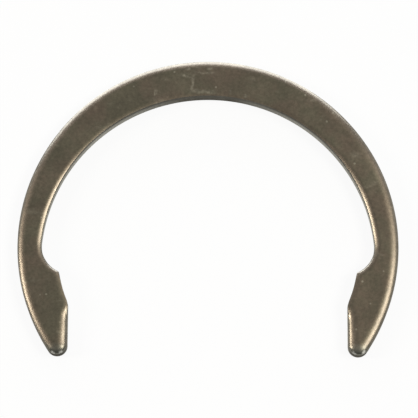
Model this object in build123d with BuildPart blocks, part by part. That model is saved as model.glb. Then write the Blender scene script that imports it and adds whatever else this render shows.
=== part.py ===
from build123d import *
from math import acos, atan2, cos, degrees, hypot, radians, sin, sqrt
import os

os.makedirs("parts", exist_ok=True)

# A one-piece retaining ring, stamped from spring steel strip and pushed into a shaft's groove
# from the side. It lies in XY with its lower face on Z = 0. The shaft's axis is Z, the wide
# crown points to +Y and the open mouth to -Y. Lengths are in millimetres, bearings in degrees.

# Driving dimensions: the outline
outer_radius = 15.0         # rim, true to the shaft's axis
thickness = 1.5             # strip
crown_width = 2.84          # band at the crown, its widest
flank_width = 1.84          # band level with the shaft's axis, close to its narrowest
lug_depth = 3.09            # from the rim in to the pads that grip the bottom of the groove
mouth_inset = 0.93          # from the pads in to the straight edges that pass over the shaft
pad_blend_radius = 1.0      # from pad to straight edge
notch_radius = 2.5          # relief between band and pad
notch_bearing = 6.0         # where the relief leaves the bore arc, above the bore centre
nose_radius = 0.81          # full round at each end

# Driving dimensions: the edges. The die rolls the upper ones over, less along the bore.
rim_roll_width = 0.78
rim_roll_depth = 0.36
bore_roll_width = 0.78
bore_roll_depth = 0.19
burr_radius = 0.10          # lower edges, tumbled

tool_clearance = 0.4        # a cutting section stands this clear of the strip
corner_overrun = 0.9        # a cut runs this far past the corner between notch and pad
nose_share = 0.97           # of the nose's radius, the most that a roll can take up

seat_radius = outer_radius - lug_depth
mouth_half_width = seat_radius - mouth_inset

# The bore is one long arc. Its centre lies towards the mouth, so that the band tapers.
crown_inner = outer_radius - crown_width
flank_inner = outer_radius - flank_width
bore_radius = (crown_inner**2 + flank_inner**2) / (2 * crown_inner)
bore_offset = bore_radius - crown_inner

up = Vector(0, 0, 1)
centre = Vector(0, 0)
bore_centre = Vector(0, -bore_offset)
rim_roll = (min(rim_roll_width, nose_share * nose_radius), rim_roll_depth)
bore_roll = (bore_roll_width, bore_roll_depth)


def polar(about, radius, bearing):
    return about + Vector(radius * cos(radians(bearing)), radius * sin(radians(bearing)))


def bearing_of(about, point):
    return degrees(atan2(point.Y - about.Y, point.X - about.X))


# Nose: tangent to the straight edge and to the rim.
nose_x = mouth_half_width + nose_radius
nose_centre = Vector(nose_x, -sqrt((outer_radius - nose_radius) ** 2 - nose_x**2))
rim_start = bearing_of(centre, nose_centre)

# Blend: tangent to the straight edge and to the pad.
blend_x = mouth_half_width + pad_blend_radius
blend_centre = Vector(blend_x, -sqrt((seat_radius + pad_blend_radius) ** 2 - blend_x**2))
pad_start = bearing_of(centre, blend_centre)

# Notch: tangent to the bore from inside. Its lower crossing with the seat circle is the
# corner that the pad starts at, found by the cosine rule.
notch_centre = polar(bore_centre, bore_radius - notch_radius, notch_bearing)
notch_reach = hypot(notch_centre.X, notch_centre.Y)
corner_cosine = (seat_radius**2 + notch_reach**2 - notch_radius**2) / (2 * seat_radius * notch_reach)
pad_end = bearing_of(centre, notch_centre) - degrees(acos(corner_cosine))
notch_start = bearing_of(notch_centre, polar(centre, seat_radius, pad_end))


def outline_arc(about, radius, start, end):
    return CenterArc(about, radius, start, end - start)


def roll_section(start, outward, roll):
    """What the die takes off an upper edge, drawn across the edge where it starts: a slow
    shoulder arc that leaves the face, then a tight arc that runs into the wall."""
    width, depth = roll
    slant = hypot(width, depth)
    shoulder_radius = (slant + width - depth) * slant / (2 * depth)
    tight_radius = (slant - width + depth) * slant / (2 * width)
    turn = degrees(atan2(width - tight_radius, shoulder_radius - depth))
    across = Plane(start + up * thickness, x_dir=outward, z_dir=outward.cross(up))
    with BuildSketch(across) as section:
        with BuildLine():
            shoulder = JernArc((-width, 0), (1, 0), shoulder_radius, -turn)
            tight = JernArc(shoulder @ 1, shoulder % 1, tight_radius, turn - 90)
            Polyline(
                tight @ 1,
                (tool_clearance, -depth),
                (tool_clearance, tool_clearance),
                (-width, tool_clearance),
                shoulder @ 0,
            )
        make_face()
    return section.sketch


def rolled_arc(about, radius, start, end, side, roll):
    """That section along an arc of the outline. Side is 1 if the strip is inside the arc, else -1."""
    spoke = polar(centre, 1, start)
    section = roll_section(about + spoke * radius, spoke * side, roll)
    return revolve(section, Axis(about, up), revolution_arc=end - start, mode=Mode.PRIVATE)


def rolled_line(start, end, outward, roll):
    """That section along a straight stretch of the outline."""
    section = roll_section(start, outward, roll)
    run = end - start
    return extrude(section, amount=run.length, dir=run, mode=Mode.PRIVATE)


mouth_start = Vector(mouth_half_width, nose_centre.Y)
mouth_end = Vector(mouth_half_width, blend_centre.Y)
pad_overrun = degrees(corner_overrun / seat_radius)
notch_overrun = degrees(corner_overrun / notch_radius)

with BuildPart() as retaining_ring:
    with BuildSketch():
        with BuildLine():
            outline_arc(centre, outer_radius, rim_start, 90)
            outline_arc(nose_centre, nose_radius, 180, 360 + rim_start)
            Line(mouth_start, mouth_end)
            outline_arc(blend_centre, pad_blend_radius, 180 + pad_start, 180)
            outline_arc(centre, seat_radius, pad_start, pad_end)
            outline_arc(notch_centre, notch_radius, notch_start, notch_bearing)
            outline_arc(bore_centre, bore_radius, notch_bearing, 90)
            mirror(about=Plane.YZ)
        make_face()
    extrude(amount=thickness)

    # Tumbled lower edges
    fillet(retaining_ring.faces().sort_by(Axis.Z)[0].edges(), radius=burr_radius)

    # Rolled upper edges: two arcs round the crown, then the stretches of each arm
    add(rolled_arc(centre, outer_radius, rim_start, 180 - rim_start, 1, rim_roll), mode=Mode.SUBTRACT)
    add(
        rolled_arc(bore_centre, bore_radius, notch_bearing, 180 - notch_bearing, -1, bore_roll),
        mode=Mode.SUBTRACT,
    )
    arm_rolls = [
        rolled_arc(nose_centre, nose_radius, 180, 360 + rim_start, 1, rim_roll),
        rolled_line(mouth_start, mouth_end, Vector(-1, 0), rim_roll),
        rolled_arc(blend_centre, pad_blend_radius, 180 + pad_start, 180, 1, rim_roll),
        rolled_arc(centre, seat_radius, pad_start, pad_end + pad_overrun, -1, rim_roll),
        rolled_arc(notch_centre, notch_radius, notch_start - notch_overrun, notch_bearing, -1, bore_roll),
    ]
    for arm_roll in arm_rolls:
        add(arm_roll, mode=Mode.SUBTRACT)
        mirror(arm_roll, about=Plane.YZ, mode=Mode.SUBTRACT)

retaining_ring.part.label = "retaining_ring"
export_step(retaining_ring.part, "parts/retaining_ring.step")
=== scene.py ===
import math
import bpy
from mathutils import Euler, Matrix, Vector


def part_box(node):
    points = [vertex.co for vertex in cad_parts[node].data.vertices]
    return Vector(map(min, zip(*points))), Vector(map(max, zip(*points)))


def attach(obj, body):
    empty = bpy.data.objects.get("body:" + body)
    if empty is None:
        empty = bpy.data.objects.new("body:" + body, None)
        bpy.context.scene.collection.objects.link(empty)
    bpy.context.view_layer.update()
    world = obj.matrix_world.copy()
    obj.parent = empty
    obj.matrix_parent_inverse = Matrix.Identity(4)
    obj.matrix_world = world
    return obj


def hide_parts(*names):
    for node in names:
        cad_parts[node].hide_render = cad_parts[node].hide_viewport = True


# A retaining ring stamped from spring steel, lying on its flat lower face.
# Lengths in the dictionaries are millimetres, bearings are degrees about the shaft's axis.
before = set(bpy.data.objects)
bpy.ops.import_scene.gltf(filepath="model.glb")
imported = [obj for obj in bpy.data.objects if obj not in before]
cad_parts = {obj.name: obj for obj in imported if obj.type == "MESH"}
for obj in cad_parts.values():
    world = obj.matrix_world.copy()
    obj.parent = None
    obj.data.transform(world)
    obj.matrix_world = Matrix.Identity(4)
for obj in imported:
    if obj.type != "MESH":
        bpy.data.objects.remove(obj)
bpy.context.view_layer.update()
ringLow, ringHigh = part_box("retaining_ring")
mm = 0.001
print("frame loaded")


def linear(hexColour):
    # an sRGB hex string as linear RGBA
    parts = [int(hexColour[i:i + 2], 16) / 255 for i in (1, 3, 5)]
    return tuple(c / 12.92 if c <= 0.04045 else ((c + 0.055) / 1.055) ** 2.4 for c in parts) + (1.0,)


def addNode(tree, kind, settings=None, inputs=None):
    # one node, its settings, and its sockets: a value is set, another node's socket is linked
    node = tree.nodes.new(kind)
    for name, value in (settings or {}).items():
        setattr(node, name, value)
    for socket, value in (inputs or {}).items():
        if isinstance(value, bpy.types.NodeSocket):
            tree.links.new(value, node.inputs[socket])
        else:
            node.inputs[socket].default_value = value
    return node


# the ring's outline, edges and mesh
ringForm = {
    "outerRadius": ringHigh.y / mm,         # rim, true to the shaft's axis
    "thickness": (ringHigh.z - ringLow.z) / mm,
    "boreRadius": 13.2,                     # long inner arc
    "boreOffset": 1.04,                     # its centre lies this far towards the mouth
    "seatRadius": 11.91,                    # pads that grip the groove
    "mouthHalfWidth": 10.98,
    "blendRadius": 1.0,                     # from pad to straight edge
    "notchRadius": 2.5,                     # relief between band and pad
    "notchBearing": 6.0,
    "noseRadius": 0.81,
    # upper edges as the die rolled them: how wide, how deep, and how they end, from 0.5 for a roll that
    # runs into the wall to 1.0 for one that leaves a sharp corner
    "rimRoll": (0.78, 0.36, 0.5),
    "backRoll": (0.60, 0.235, 1.0),         # the rim's, where the band is wide
    "mouthRoll": (0.90, 0.40, 0.5),         # where the mouth meets the nose
    "blendRoll": (0.55, 0.06, 1.0),
    "padRoll": (0.45, 0.06, 1.0),
    "notchRoll": (0.42, 0.23, 0.5),
    "rightBoreRoll": (0.46, 0.152, 1.0),
    "leftBoreRoll": (0.46, 0.128, 0.9),
    "crownRoll": (0.35, 0.046, 1.0),        # the bore's, where the band is wide and stiff
    "rimChange": (26.0, 56.0),              # bearings from which and up to which the rim's roll changes
    "boreChange": (9.0, 48.0),              # and the bore's
    "punchTurn": 5.5,                       # later by this on the right, sooner on the left
    "burrRadius": 0.10,                     # lower edges, tumbled
    "unevenness": 0.05,                     # how much the roll swells and thins along an edge
    "swellSize": 1.7,                       # over what length it does
    "stationGap": 0.075,                    # spacing of the mesh along the band
    "noseSteps": 40,                        # and how many steps of it go round a nose
    "rowsUp": 46,                           # rows across the upper side
    "rowsDown": 18,                         # rows across the lower side
    "weldGap": 0.0002,                      # points closer than this are joined
    "creaseAngle": 40.0,                    # a sharper turn than this is a crease
    "wallTilt": 0.02,                       # a face whose normal rises less than this is a wall
}


def onCircle(centre, radius, angle):
    return Vector((centre[0] + radius * math.cos(math.radians(angle)),
                   centre[1] + radius * math.sin(math.radians(angle))))


def bearingOf(point):
    return math.degrees(math.atan2(point[1], point[0]))


def smooth(value, start, end):
    share = min(max((value - start) / (end - start), 0.0), 1.0)
    return share * share * (3 - 2 * share)


def rayReach(centre, radius, bearing, side):
    # how far out a ray from the shaft's axis meets a circle: side 1 is the far crossing, -1 the near one
    away = math.radians(bearing - bearingOf(centre))
    distance = math.hypot(*centre)
    across = radius ** 2 - (distance * math.sin(away)) ** 2
    return distance * math.cos(away) + side * math.sqrt(max(across, 0.0))


def ringOutline(form):
    # from the nose's tip to the crown: points of the inner and outer edge, and both edges' rolls, which
    # differ a little between the right side, 1, and the left side, -1
    noseX = form["mouthHalfWidth"] + form["noseRadius"]
    nose = (noseX, -math.sqrt((form["outerRadius"] - form["noseRadius"]) ** 2 - noseX ** 2))
    blendX = form["mouthHalfWidth"] + form["blendRadius"]
    blend = (blendX, -math.sqrt((form["seatRadius"] + form["blendRadius"]) ** 2 - blendX ** 2))
    bore = (0.0, -form["boreOffset"])
    notch = onCircle(bore, form["boreRadius"] - form["notchRadius"], form["notchBearing"])
    notchReach = notch.length
    cosine = (form["seatRadius"] ** 2 + notchReach ** 2 - form["notchRadius"] ** 2) \
        / (2 * form["seatRadius"] * notchReach)
    corner = bearingOf(notch) - math.degrees(math.acos(cosine))
    noseTurn = math.degrees(math.asin(form["noseRadius"] / math.hypot(*nose)))
    mouthStart = bearingOf((form["mouthHalfWidth"], nose[1]))
    mouthEnd = bearingOf((form["mouthHalfWidth"], blend[1]))
    padStart = bearingOf(blend)
    notchEnd = bearingOf(onCircle(bore, form["boreRadius"], form["notchBearing"]))

    quarter = math.pi / 2 / form["noseSteps"]
    bearings = [bearingOf(nose) - noseTurn * math.cos(quarter * i) for i in range(form["noseSteps"])]
    keys = [bearingOf(nose), mouthEnd, padStart, corner, notchEnd, 90.0]
    for start, end in zip(keys, keys[1:]):
        steps = math.ceil(math.radians(end - start) * form["outerRadius"] / form["stationGap"])
        bearings += [start + (end - start) * i / steps for i in range(steps)]
    bearings.append(90.0)

    # the rolls change from one knot to the next
    knots = [(bearings[0], "rimRoll"), (mouthStart, "mouthRoll"),
             ((mouthStart + mouthEnd) / 2, "rimRoll"), (mouthEnd, "blendRoll"), (padStart, "padRoll"),
             ((padStart + 3 * corner) / 4, "padRoll"), ((3 * corner + notchEnd) / 4, "notchRoll")]
    inner, outer = [], []
    rolls = {(edge, side): [] for edge in ("rim", "bore") for side in (1, -1)}
    for bearing in bearings:
        if bearing < mouthStart:
            inside = rayReach(nose, form["noseRadius"], bearing, -1)
        elif bearing < mouthEnd:
            inside = form["mouthHalfWidth"] / math.cos(math.radians(bearing))
        elif bearing < padStart:
            inside = rayReach(blend, form["blendRadius"], bearing, -1)
        elif bearing < corner:
            inside = form["seatRadius"]
        elif bearing < notchEnd:
            inside = rayReach(notch, form["notchRadius"], bearing, 1)
        else:
            inside = rayReach(bore, form["boreRadius"], bearing, 1)
        if bearing < bearingOf(nose):
            outside = rayReach(nose, form["noseRadius"], bearing, 1)
        else:
            outside = form["outerRadius"]
        inner.append(onCircle((0, 0), inside, bearing))
        outer.append(onCircle((0, 0), outside, bearing))
        for (edge, side), along in rolls.items():
            first, last = [change + side * form["punchTurn"] for change in form[edge + "Change"]]
            if edge == "rim":
                places = [(first, "rimRoll"), (last, "backRoll")]
            else:
                boreRoll = "rightBoreRoll" if side == 1 else "leftBoreRoll"
                places = knots + [(notchEnd, boreRoll), (first, boreRoll), (last, "crownRoll")]
            roll = Vector(form["rimRoll"])
            for (start, _), (end, name) in zip(places, places[1:]):
                roll = roll.lerp(Vector(form[name]), smooth(bearing, start, end))
            along.append(roll)
    return inner, outer, rolls


def makeBlank(form):
    # the plain outline as two rails of edges, outer then inner, with the same stations on both
    inner, outer, rolls = ringOutline(form)
    outer = outer + [Vector((-p.x, p.y)) for p in outer[-2::-1]]
    inner = inner + [Vector((-p.x, p.y)) for p in inner[-2::-1]]
    rolls = [roll for edge in ("rim", "bore") for roll in rolls[edge, 1] + rolls[edge, -1][-2::-1]]
    stations = len(outer)
    points = [(p.x * mm, p.y * mm, 0.0) for p in outer + inner]
    edges = [(i, i + 1) for i in range(stations - 1)]
    edges += [(stations + i, stations + i + 1) for i in range(stations - 1)]
    mesh = bpy.data.meshes.new("ringBlank")
    mesh.from_pydata(points, edges, [])
    for i, (name, unit) in enumerate((("rollWidth", mm), ("rollDepth", mm), ("rollPower", 1.0))):
        values = [roll[i] * unit for roll in rolls]
        mesh.attributes.new(name, "FLOAT", "POINT").data.foreach_set("value", values)
    blank = bpy.data.objects.new("springRing", mesh)
    bpy.context.scene.collection.objects.link(blank)
    return blank, stations


def rollTree(weldGap):
    # Geometry Nodes: a skin of rows across the blank, dropped at its edges as the die rolls them
    tree = bpy.data.node_groups.new("rolledRing", "GeometryNodeTree")
    face = tree.interface
    face.new_socket("Blank", in_out="INPUT", socket_type="NodeSocketGeometry")
    for name in ("Stations", "Rows Up", "Rows Down"):
        face.new_socket(name, in_out="INPUT", socket_type="NodeSocketInt")
    for name in ("Thickness", "Burr Radius", "Unevenness", "Swell Scale"):
        face.new_socket(name, in_out="INPUT", socket_type="NodeSocketFloat")
    face.new_socket("Finish", in_out="INPUT", socket_type="NodeSocketMaterial")
    face.new_socket("Ring", in_out="OUTPUT", socket_type="NodeSocketGeometry")
    given = addNode(tree, "NodeGroupInput").outputs

    # what each point of the skin reads: its number, its place, the nearest edge, and how the roll swells
    position = addNode(tree, "GeometryNodeInputPosition").outputs[0]
    nearest = addNode(tree, "GeometryNodeSampleNearest", {"domain": "POINT"},
                      {"Geometry": given["Blank"]}).outputs[0]
    known = {socket.name: socket for socket in given}
    known["index"] = addNode(tree, "GeometryNodeInputIndex").outputs[0]
    known["distance"] = addNode(tree, "GeometryNodeProximity", {"target_element": "EDGES"},
                                {"Geometry": given["Blank"]}).outputs["Distance"]
    for name in ("rollWidth", "rollDepth", "rollPower"):
        stored = addNode(tree, "GeometryNodeInputNamedAttribute", {"data_type": "FLOAT"},
                         {"Name": name}).outputs[0]
        known[name] = addNode(tree, "GeometryNodeSampleIndex", {"data_type": "FLOAT", "domain": "POINT"},
                              {"Geometry": given["Blank"], "Value": stored, "Index": nearest}).outputs[0]
    known["noise"] = addNode(tree, "ShaderNodeTexNoise", None,
                             {"Vector": position, "Scale": given["Swell Scale"], "Detail": 2.0,
                              "Roughness": 0.6}).outputs[0]

    # each line names its answer, the operation, and its terms: numbers or earlier answers
    sums = [
        # rows run up across the top from rim to bore, back along the bottom, and the first row again
        ("around", "ADD", "Rows Up", "Rows Down"),
        ("rows", "ADD", "around", 1.0),
        ("station", "ADD", "index", 0.5),
        ("station", "DIVIDE", "station", "rows"),
        ("station", "FLOOR", "station"),
        ("bore station", "ADD", "station", "Stations"),
        ("row", "MULTIPLY", "station", "rows"),
        ("row", "SUBTRACT", "index", "row"),
        ("row", "MODULO", "row", "around"),
        ("last up", "SUBTRACT", "Rows Up", 0.5),
        ("is down", "GREATER_THAN", "row", "last up"),
        # how far across the band a row lies: close together at both edges, closer still underneath
        ("up gaps", "SUBTRACT", "Rows Up", 1.0),
        ("up", "DIVIDE", "row", "up gaps"),
        ("up", "MULTIPLY", "up", math.pi),
        ("up", "COSINE", "up"),
        ("up", "MULTIPLY_ADD", "up", -0.5, 0.5),
        ("down gaps", "SUBTRACT", "Rows Down", 1.0),
        ("down", "SUBTRACT", "row", "Rows Up"),
        ("down", "DIVIDE", "down", "down gaps"),
        ("down", "MULTIPLY", "down", math.pi),
        ("down", "COSINE", "down"),
        ("down", "MULTIPLY_ADD", "down", -math.pi / 2, math.pi / 2),
        ("down", "COSINE", "down"),
        ("down", "MULTIPLY_ADD", "down", 0.5, 0.5),
        ("back", "SUBTRACT", "down", "up"),
        ("across", "MULTIPLY_ADD", "is down", "back", "up"),
        # the roll swells and thins along an edge
        ("swell", "MULTIPLY_ADD", "noise", 2.0, -1.0),
        ("swell", "MULTIPLY_ADD", "swell", "Unevenness", 1.0),
        ("width", "MULTIPLY", "rollWidth", "swell"),
        ("depth", "MULTIPLY", "rollDepth", "swell"),
    ]
    # both sides drop towards the edges: the die's roll above, a tumbled burr below
    for side, width, depth, power in (("upper", "width", "depth", "rollPower"),
                                      ("lower", "Burr Radius", "Burr Radius", 0.5)):
        sums += [
            (side, "DIVIDE", "distance", width),
            (side, "MINIMUM", side, 1.0),
            (side, "SUBTRACT", 1.0, side),
            (side, "MULTIPLY", side, side),
            (side, "SUBTRACT", 1.0, side),
            (side, "POWER", side, power),
            (side, "SUBTRACT", 1.0, side),
            (side, "MULTIPLY", side, depth),
        ]
    sums += [
        ("upper", "SUBTRACT", "Thickness", "upper"),
        ("rise", "SUBTRACT", "lower", "upper"),
        ("height", "MULTIPLY_ADD", "is down", "rise", "upper"),
    ]
    for name, operation, *terms in sums:
        known[name] = addNode(tree, "ShaderNodeMath", {"operation": operation},
                              {i: known.get(term, term) for i, term in enumerate(terms)}).outputs[0]

    skin = addNode(tree, "GeometryNodeMeshGrid", None,
                   {"Vertices X": given["Stations"], "Vertices Y": known["rows"]}).outputs[0]
    atPoint = {"data_type": "FLOAT_VECTOR", "domain": "POINT"}
    rim, bore = [addNode(tree, "GeometryNodeSampleIndex", atPoint,
                         {"Geometry": given["Blank"], "Value": position,
                          "Index": known[rail]}).outputs[0]
                 for rail in ("station", "bore station")]
    spread = addNode(tree, "ShaderNodeMix", {"data_type": "VECTOR"},
                     {"Factor": known["across"], "A": rim, "B": bore}).outputs[1]
    flat = addNode(tree, "GeometryNodeSetPosition", None,
                   {"Geometry": skin, "Position": spread}).outputs[0]
    lift = addNode(tree, "ShaderNodeCombineXYZ", None, {"Z": known["height"]}).outputs[0]
    raised = addNode(tree, "GeometryNodeSetPosition", None,
                     {"Geometry": flat, "Offset": lift}).outputs[0]
    closed = addNode(tree, "GeometryNodeMergeByDistance", None,
                     {"Geometry": raised, "Distance": weldGap * mm}).outputs[0]
    solid = addNode(tree, "GeometryNodeRealizeInstances", None, {"Geometry": closed}).outputs[0]
    finished = addNode(tree, "GeometryNodeSetMaterial", None,
                       {"Geometry": solid, "Material": given["Finish"]}).outputs[0]
    addNode(tree, "NodeGroupOutput", None, {"Ring": finished})
    return tree


def makeRing(form, finish):
    blank, stations = makeBlank(form)
    tree = rollTree(form["weldGap"])
    roll = blank.modifiers.new("rolled edges", "NODES")
    roll.node_group = tree
    values = {
        "Stations": stations, "Rows Up": form["rowsUp"], "Rows Down": form["rowsDown"],
        "Thickness": form["thickness"] * mm, "Burr Radius": form["burrRadius"] * mm,
        "Unevenness": form["unevenness"], "Swell Scale": 1 / (form["swellSize"] * mm), "Finish": finish,
    }
    for socket in tree.interface.items_tree:
        if socket.in_out == "INPUT" and socket.name in values:
            roll[socket.identifier] = values[socket.name]
    evaluated = blank.evaluated_get(bpy.context.evaluated_depsgraph_get())
    shaped = bpy.data.meshes.new_from_object(evaluated)
    blank.modifiers.clear()
    blank.data = shaped
    shaped.shade_smooth()
    shaped.set_sharp_from_angle(angle=math.radians(form["creaseAngle"]))
    # every wall starts at a crease under the roll, so that the shading of a tall wall stays even
    walls = [face for face in shaped.polygons if abs(face.normal.z) < form["wallTilt"]]
    wallEdges = {key for face in walls for key in face.edge_keys}
    for edge in shaped.edges:
        above = all(shaped.vertices[i].co.z > form["thickness"] / 2 * mm for i in edge.vertices)
        if above and edge.key in wallEdges:
            edge.use_edge_sharp = True
    print("ring mesh:", len(shaped.vertices), "points,", len(shaped.polygons), "faces")
    return blank


# Carbon spring steel, phosphated and oiled: a thin grown coat that dulls the metal to a mottled olive
# brown, rubbed to a soft shine where the die rolled the edges. The punched walls are torn and dull.
steelLook = {
    "olive": "#676150",
    "brown": "#6d6152",
    "bronze": "#7a6e5f",                    # where the roll begins and the coat is thin
    "rubbed": "#91897a",
    # painted shade: the last of the roll, next to the wall, is kept darker than the rubbed edge so that
    # a dark reflection line shows there
    "steepPaintedShade": "#777064",                     # the last of the roll, next to the wall
    "torn": "#69665e",
    # painted light: the paler lower part of the walls on the flanks, where they catch light
    "wallPaintedLight": "#a8a69d",
    "pale": "#a8a18e",                      # coat worn thin, and the marks of handling
    "paintedGlint": "#e6e5de",                      # painted glint: near-white spots at the noses that stand for small highlights
    "slate": "#7e7d71",                     # a greyer, less brown tint at the noses' tips
    "waver": 0.25,                          # how far a mark strays sideways, as a share of its length
    "slice": 4.0,                           # which layer of the patterns the face shows
    "blotchSize": 3.2,
    "cloudSize": 2.4,
    "cloudShare": 0.14,                     # how far the clouds lighten and darken the coat
    "grainSize": 0.20,
    "grainShare": 0.17,                     # how far the grain lightens and darkens the coat
    "wearSize": 1.1,
    "hazeStrength": 0.35,                   # how pale the coat turns where it is worn
    "speckSize": 0.55,
    "speckShare": 0.16,                     # how many of the specks show
    "speckStrength": 0.6,
    "streakSize": 0.10,
    "faceRoughness": 0.40,
    "edgeRoughness": 0.30,
    "tornRoughness": 0.55,
    "paintedGlintRoughness": 0.85,
    "edgeTint": "#b0b0b0",                  # how far the metal whitens where it is seen edge on
    "oil": 0.5,
    "oilRoughness": 0.25,
    "grainHeight": 0.0025,
    "rippleSize": 0.7,
    "rippleHeight": 0.004,
    "streakHeight": 0.01,
    "tornLean": 0.35,                       # how far the torn part of a wall leans out below
}

# marks of handling on the upper face: where, how long, which way, how wide, how strong
marks = [
    {"x": -1.28, "y": 13.15, "length": 1.5, "turn": 86, "width": 0.15, "strength": 0.9},
    {"x": -1.75, "y": 13.74, "length": 1.0, "turn": -14, "width": 0.14, "strength": 0.7},
    {"x": -0.42, "y": 12.46, "length": 2.5, "turn": -3, "width": 0.20, "strength": 0.8},
    {"x": -4.30, "y": 12.36, "length": 0.7, "turn": 84, "width": 0.09, "strength": 0.8},
    {"x": -4.14, "y": 12.42, "length": 0.5, "turn": 86, "width": 0.08, "strength": 0.6},
    {"x": -0.20, "y": 14.02, "length": 1.7, "turn": -3, "width": 0.17, "strength": 0.5},
    {"x": 0.10, "y": 14.38, "length": 0.6, "turn": 12, "width": 0.16, "strength": 0.7},
    {"x": -1.65, "y": 14.32, "length": 0.5, "turn": 20, "width": 0.14, "strength": 0.7},
    {"x": 1.74, "y": 12.45, "length": 0.6, "turn": 84, "width": 0.15, "strength": 0.5},
    {"x": 2.94, "y": 12.12, "length": 0.4, "turn": 80, "width": 0.16, "strength": 0.8},
]

# painted glints at the noses: near-white spots that stand for small highlights
paintedGlints = [
    {"x": 11.42, "y": -8.58, "length": 0.44, "turn": -40, "width": 0.12, "strength": 1.9},
    {"x": 12.16, "y": -8.49, "length": 0.44, "turn": 50, "width": 0.13, "strength": 1.9},
    {"x": -11.44, "y": -8.58, "length": 0.44, "turn": 38, "width": 0.14, "strength": 1.9},
    {"x": -12.06, "y": -8.61, "length": 0.42, "turn": -35, "width": 0.12, "strength": 1.9},
]


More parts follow.
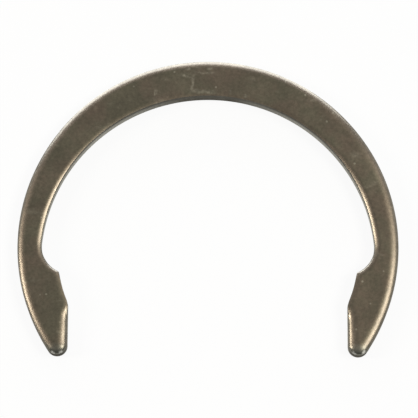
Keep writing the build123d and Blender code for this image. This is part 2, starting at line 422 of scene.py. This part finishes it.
def makeSteel(look, marks, paintedGlints):
    material = bpy.data.materials.new("phosphatedSpringSteel")
    material.use_nodes = True
    tree = material.node_tree
    tree.nodes.clear()
    place = addNode(tree, "ShaderNodeTexCoord").outputs
    facing = addNode(tree, "ShaderNodeSeparateXYZ", None, {0: place["Normal"]}).outputs[2]
    sideways, back, height = addNode(tree, "ShaderNodeSeparateXYZ", None, {0: place["Object"]}).outputs
    sideways = addNode(tree, "ShaderNodeMath", {"operation": "ABSOLUTE"}, {0: sideways}).outputs[0]

    # patterns: name, size in mm, detail, share of the finer detail, how it is stretched
    noise = {}
    for name, size, detail, fine, stretch in (
            ("blotch", look["blotchSize"], 5.0, 0.62, (1, 1, 1)),
            ("grain", look["grainSize"], 3.0, 0.6, (1, 1, 1)),
            ("cloud", look["cloudSize"], 3.0, 0.6, (1, 1, 1)),
            ("wear", look["wearSize"], 4.0, 0.6, (0.45, 1, 1)),
            ("streak", look["streakSize"], 2.0, 0.6, (1, 1, 0.12)),
            ("ripple", look["rippleSize"], 2.0, 0.5, (1, 1, 1))):
        stretched = addNode(tree, "ShaderNodeMapping", None,
                            {"Vector": place["Object"], "Location": (0, 0, look["slice"] * mm),
                             "Scale": stretch}).outputs[0]
        noise[name] = addNode(tree, "ShaderNodeTexNoise", None,
                              {"Vector": stretched, "Scale": 1 / (size * mm), "Detail": detail,
                               "Roughness": fine}).outputs[0]

    # zones: by slope from flat face to rolled edge to torn wall, then by height, pattern and place
    level = addNode(tree, "ShaderNodeMath", {"operation": "ABSOLUTE"}, {0: facing}).outputs[0]
    zone = {}
    for name, source, start, end in (
            ("shoulder", level, 0.998, 0.96),
            ("rolled", level, 0.95, 0.80),
            # the band next to the wall that carries the painted shade
            ("steepPaintedShade", level, 0.78, 0.50),
            ("torn", level, 0.2, 0.05),
            ("oiled", level, 0.3, 0.9),
            # low and aside place the painted light on the walls
            ("low", height, 1.15 * mm, 0.75 * mm),
            ("leaning", height, 0.8 * mm, 0.1 * mm),
            ("brown", noise["blotch"], 0.40, 0.60),
            ("worn", noise["wear"], 0.60, 0.72),
            ("aside", sideways, 2.0 * mm, 6.5 * mm),
            ("nose", back, -7.8 * mm, -8.5 * mm),
            ("above", facing, 0.0, 0.1)):
        zone[name] = addNode(tree, "ShaderNodeMapRange", None,
                             {"Value": source, "From Min": start, "From Max": end}).outputs[0]

    # specks: a few of the cells show a dot
    cells = addNode(tree, "ShaderNodeTexVoronoi", None,
                    {"Vector": place["Object"], "Scale": 1 / (look["speckSize"] * mm)}).outputs
    dot = addNode(tree, "ShaderNodeMapRange", None,
                  {"Value": cells["Distance"], "From Min": 0.20, "From Max": 0.08}).outputs[0]
    chosen = addNode(tree, "ShaderNodeSeparateColor", None, {0: cells["Color"]}).outputs[0]
    chosen = addNode(tree, "ShaderNodeMath", {"operation": "LESS_THAN"},
                     {0: chosen, 1: look["speckShare"]}).outputs[0]
    pale = addNode(tree, "ShaderNodeMath", {"operation": "MULTIPLY"}, {0: dot, 1: chosen}).outputs[0]
    pale = addNode(tree, "ShaderNodeMath", {"operation": "MULTIPLY"},
                   {0: pale, 1: look["speckStrength"]}).outputs[0]
    haze = addNode(tree, "ShaderNodeMath", {"operation": "MULTIPLY"},
                   {0: zone["worn"], 1: noise["grain"]}).outputs[0]
    pale = addNode(tree, "ShaderNodeMath", {"operation": "MULTIPLY_ADD"},
                   {0: haze, 1: look["hazeStrength"], 2: pale}).outputs[0]

    # marks and painted glints: each is a line, broken up by the grain, that wavers by a share of its
    # length
    waver = addNode(tree, "ShaderNodeMath", {"operation": "SUBTRACT"},
                    {0: noise["ripple"], 1: 0.5}).outputs[0]
    upperGrain = addNode(tree, "ShaderNodeMath", {"operation": "MULTIPLY"},
                         {0: noise["grain"], 1: zone["above"]}).outputs[0]
    covers = []
    for spots, cover in ((marks, pale), (paintedGlints, 0.0)):
        for spot in spots:
            along = addNode(tree, "ShaderNodeMapping", {"vector_type": "TEXTURE"},
                            {"Vector": place["Object"], "Location": (spot["x"] * mm, spot["y"] * mm, 0),
                             "Rotation": (0, 0, math.radians(spot["turn"]))}).outputs[0]
            axis = addNode(tree, "ShaderNodeSeparateXYZ", None, {0: along}).outputs
            off = addNode(tree, "ShaderNodeMath", {"operation": "MULTIPLY_ADD"},
                          {0: waver, 1: spot["length"] * look["waver"] * mm, 2: axis[1]}).outputs[0]
            shown = upperGrain
            for side, reach, fade in ((off, spot["width"], spot["width"]),
                                      (axis[0], spot["length"] / 2, spot["length"] / 4)):
                apart = addNode(tree, "ShaderNodeMath", {"operation": "ABSOLUTE"}, {0: side}).outputs[0]
                within = addNode(tree, "ShaderNodeMapRange", None,
                                 {"Value": apart, "From Min": reach * mm,
                                  "From Max": (reach - fade) * mm}).outputs[0]
                shown = addNode(tree, "ShaderNodeMath", {"operation": "MULTIPLY"},
                                {0: shown, 1: within}).outputs[0]
            cover = addNode(tree, "ShaderNodeMath", {"operation": "MULTIPLY_ADD"},
                            {0: shown, 1: spot["strength"], 2: cover}).outputs[0]
        covers.append(cover)
    pale, paintedGlint = covers

    # colour: each zone over the one before
    # painted light on the walls: low down, and away from the crown and the noses, they turn paler where
    # they catch light; elsewhere they keep the dull torn steel
    paintedWallLightShare = addNode(tree, "ShaderNodeMath", {"operation": "MULTIPLY"},
                      {0: zone["low"], 1: zone["aside"]}).outputs[0]
    paintedWallLightShare = addNode(tree, "ShaderNodeMath", {"operation": "SUBTRACT", "use_clamp": True},
                      {0: paintedWallLightShare, 1: zone["nose"]}).outputs[0]
    wall = addNode(tree, "ShaderNodeMix", {"data_type": "RGBA"},
                   {"Factor": paintedWallLightShare, "A": linear(look["torn"]),
                    "B": linear(look["wallPaintedLight"])}).outputs[2]
    coat = linear(look["olive"])
    for share, colour in ((zone["brown"], linear(look["brown"])),
                          (zone["shoulder"], linear(look["bronze"])),
                          (zone["rolled"], linear(look["rubbed"])),
                          # painted shade: the darker band of the roll next to the wall
                          (zone["steepPaintedShade"], linear(look["steepPaintedShade"])),
                          (zone["nose"], linear(look["slate"])),
                          (pale, linear(look["pale"])),
                          # painted highlight: the glints at the noses
                          (paintedGlint, linear(look["paintedGlint"])),
                          (zone["torn"], wall)):
        coat = addNode(tree, "ShaderNodeMix", {"data_type": "RGBA"},
                       {"Factor": share, "A": coat, "B": colour}).outputs[2]
    # grain and clouds lighten and darken it
    for name, amount in (("grain", look["grainShare"]), ("cloud", look["cloudShare"])):
        shade = addNode(tree, "ShaderNodeMapRange", None,
                        {"Value": noise[name], "From Min": 0.3, "From Max": 0.7,
                         "To Min": 1 - amount, "To Max": 1 + amount}).outputs[0]
        coat = addNode(tree, "ShaderNodeHueSaturation", None,
                       {"Value": shade, "Color": coat}).outputs[0]

    roughness = look["faceRoughness"]
    for share, value in ((zone["rolled"], look["edgeRoughness"]), (paintedGlint, look["paintedGlintRoughness"]),
                         (zone["torn"], look["tornRoughness"])):
        roughness = addNode(tree, "ShaderNodeMix", {"data_type": "FLOAT"},
                            {"Factor": share, "A": roughness, "B": value}).outputs[0]
    oil = addNode(tree, "ShaderNodeMath", {"operation": "MULTIPLY"},
                  {0: zone["oiled"], 1: look["oil"]}).outputs[0]

    bump = None
    streaks = addNode(tree, "ShaderNodeMath", {"operation": "MULTIPLY"},
                      {0: noise["streak"], 1: zone["torn"]}).outputs[0]
    for pattern, depth in ((noise["grain"], look["grainHeight"]),
                           (noise["ripple"], look["rippleHeight"]),
                           (streaks, look["streakHeight"]),
                           (zone["leaning"], look["tornLean"])):
        under = {"Normal": bump} if bump else {}
        bump = addNode(tree, "ShaderNodeBump", None,
                       {"Height": pattern, "Strength": 1.0, "Distance": depth * mm, **under}).outputs[0]
    steel = addNode(tree, "ShaderNodeBsdfPrincipled", None,
                    {"Base Color": coat, "Metallic": 1.0, "Roughness": roughness, "Normal": bump,
                     "Specular Tint": linear(look["edgeTint"]),
                     "Coat Weight": oil, "Coat Roughness": look["oilRoughness"]})
    addNode(tree, "ShaderNodeOutputMaterial", None, {"Surface": steel.outputs[0]})
    return material


springSteel = makeSteel(steelLook, marks, paintedGlints)
ring = makeRing(ringForm, springSteel)
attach(ring, "root")
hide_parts("retaining_ring")
print("ring done")


# a sheet of pale satin card
floorLook = {
    "size": 6000.0,
    "colour": "#e8e8e6",
    "glow": 0.91,               # share of the floor's colour that is plain white, whatever falls on it
    "satin": 0.30,              # strength of the sheen seen at a low angle
    "satinStart": 0.3,          # from how low an angle, as Layer Weight's Facing gives it
    "satinFull": 0.8,           # and where it is full
    "satinRoughness": 0.25,
}


def makeFloor(look):
    half = look["size"] / 2 * mm
    mesh = bpy.data.meshes.new("studioFloor")
    corners = [(-half, -half, 0), (half, -half, 0), (half, half, 0), (-half, half, 0)]
    mesh.from_pydata(corners, [], [(0, 1, 2, 3)])
    floor = bpy.data.objects.new("studioFloor", mesh)
    floor.location.z = ringLow.z
    bpy.context.scene.collection.objects.link(floor)
    material = bpy.data.materials.new("paleSatinCard")
    material.use_nodes = True
    tree = material.node_tree
    tree.nodes.clear()
    ray = addNode(tree, "ShaderNodeLightPath").outputs
    seen = addNode(tree, "ShaderNodeMath", {"operation": "MAXIMUM"},
                   {0: ray["Is Camera Ray"], 1: ray["Is Glossy Ray"]}).outputs[0]
    seen = addNode(tree, "ShaderNodeMath", {"operation": "MAXIMUM"},
                   {0: seen, 1: ray["Is Transmission Ray"]}).outputs[0]
    paper = addNode(tree, "ShaderNodeBsdfDiffuse", None, {"Color": linear(look["colour"])}).outputs[0]
    white = addNode(tree, "ShaderNodeEmission", None, {"Strength": 1.0}).outputs[0]
    share = addNode(tree, "ShaderNodeMath", {"operation": "MULTIPLY"},
                    {0: seen, 1: look["glow"]}).outputs[0]
    both = addNode(tree, "ShaderNodeMixShader", None, {0: share, 1: paper, 2: white}).outputs[0]
    glance = addNode(tree, "ShaderNodeLayerWeight", None, {"Blend": 0.5}).outputs["Facing"]
    glance = addNode(tree, "ShaderNodeMapRange", None,
                     {"Value": glance, "From Min": look["satinStart"], "From Max": look["satinFull"],
                      "To Max": look["satin"]}).outputs[0]
    sheen = addNode(tree, "ShaderNodeBsdfGlossy", None, {"Roughness": look["satinRoughness"]}).outputs[0]
    card = addNode(tree, "ShaderNodeMixShader", None, {0: glance, 1: both, 2: sheen}).outputs[0]
    addNode(tree, "ShaderNodeOutputMaterial", None, {"Surface": card})
    mesh.materials.append(material)
    return floor


makeFloor(floorLook)
print("floor done")


# bearing is where a lamp stands, from +X towards +Y; height is its angle above the floor
lamps = {
    "rightSoftbox": {"bearing": -4, "height": 53.5, "distance": 500, "wide": 200, "tall": 180,
                     "power": 1.333, "colour": "#fffdf2"},
    "leftSoftbox": {"bearing": 180, "height": 36, "distance": 300, "wide": 60, "tall": 110,
                    "power": 0.313, "colour": "#fff7ea"},
    "backStrip": {"bearing": 97, "height": 11.5, "distance": 300, "wide": 500, "tall": 115,
                  "power": 0.867, "colour": "#ebf3ff"},
}
room = {
    "colour": "#ffffff",
    "frontStrength": 0.16,      # the room is darker on the mouth's side
    "backStrength": 0.63,
}


def addLamps(lamps, room):
    for name, lamp in lamps.items():
        light = bpy.data.lights.new(name, "AREA")
        light.shape = "RECTANGLE"
        light.size = lamp["wide"] * mm
        light.size_y = lamp["tall"] * mm
        light.energy = lamp["power"]
        light.color = linear(lamp["colour"])[:3]
        holder = bpy.data.objects.new(name, light)
        lift = math.radians(lamp["height"])
        turn = math.radians(lamp["bearing"])
        away = Vector((math.cos(lift) * math.cos(turn), math.cos(lift) * math.sin(turn), math.sin(lift)))
        holder.location = away * lamp["distance"] * mm
        holder.rotation_euler = away.to_track_quat("Z", "Y").to_euler()
        bpy.context.scene.collection.objects.link(holder)
    world = bpy.data.worlds.new("studioRoom")
    world.use_nodes = True
    world.node_tree.nodes.clear()
    toward = addNode(world.node_tree, "ShaderNodeTexCoord").outputs["Generated"]
    toward = addNode(world.node_tree, "ShaderNodeSeparateXYZ", None, {0: toward}).outputs[1]
    strength = addNode(world.node_tree, "ShaderNodeMapRange", None,
                       {"Value": toward, "From Min": -1.0, "From Max": 1.0,
                        "To Min": room["frontStrength"], "To Max": room["backStrength"]}).outputs[0]
    glow = addNode(world.node_tree, "ShaderNodeBackground", None,
                   {"Color": linear(room["colour"]), "Strength": strength}).outputs[0]
    addNode(world.node_tree, "ShaderNodeOutputWorld", None, {"Surface": glow})
    bpy.context.scene.world = world


addLamps(lamps, room)
print("light done")


# where the camera stands and what it aims at
view = {
    "fromAbove": 77.88,         # degrees above the floor, standing on the mouth's side
    "distance": 197.4,
    "aimX": 0.068,              # what the picture's middle rests on
    "aimY": 3.04,
    "roll": 0.31,
    "lens": 215.5,              # focal length
    "sensor": 36.0,
}


def addCamera(view, form):
    lens = bpy.data.cameras.new("camera")
    lens.sensor_width = view["sensor"]
    lens.lens = view["lens"]
    lens.clip_start = 0.01
    camera = bpy.data.objects.new("camera", lens)
    middle = Vector((0, 0, form["thickness"] / 2))
    lift = math.radians(view["fromAbove"])
    place = middle + Vector((0, -math.cos(lift), math.sin(lift))) * view["distance"]
    aim = Vector((view["aimX"], view["aimY"], middle.z))
    camera.location = place * mm
    turned = (place - aim).to_track_quat("Z", "Y").to_matrix()
    rolled = Euler((0, 0, math.radians(view["roll"]))).to_matrix()
    camera.rotation_euler = (turned @ rolled).to_euler()
    bpy.context.scene.collection.objects.link(camera)
    bpy.context.scene.camera = camera


addCamera(view, ringForm)
bpy.context.scene.view_settings.view_transform = "Standard"
print("camera done")
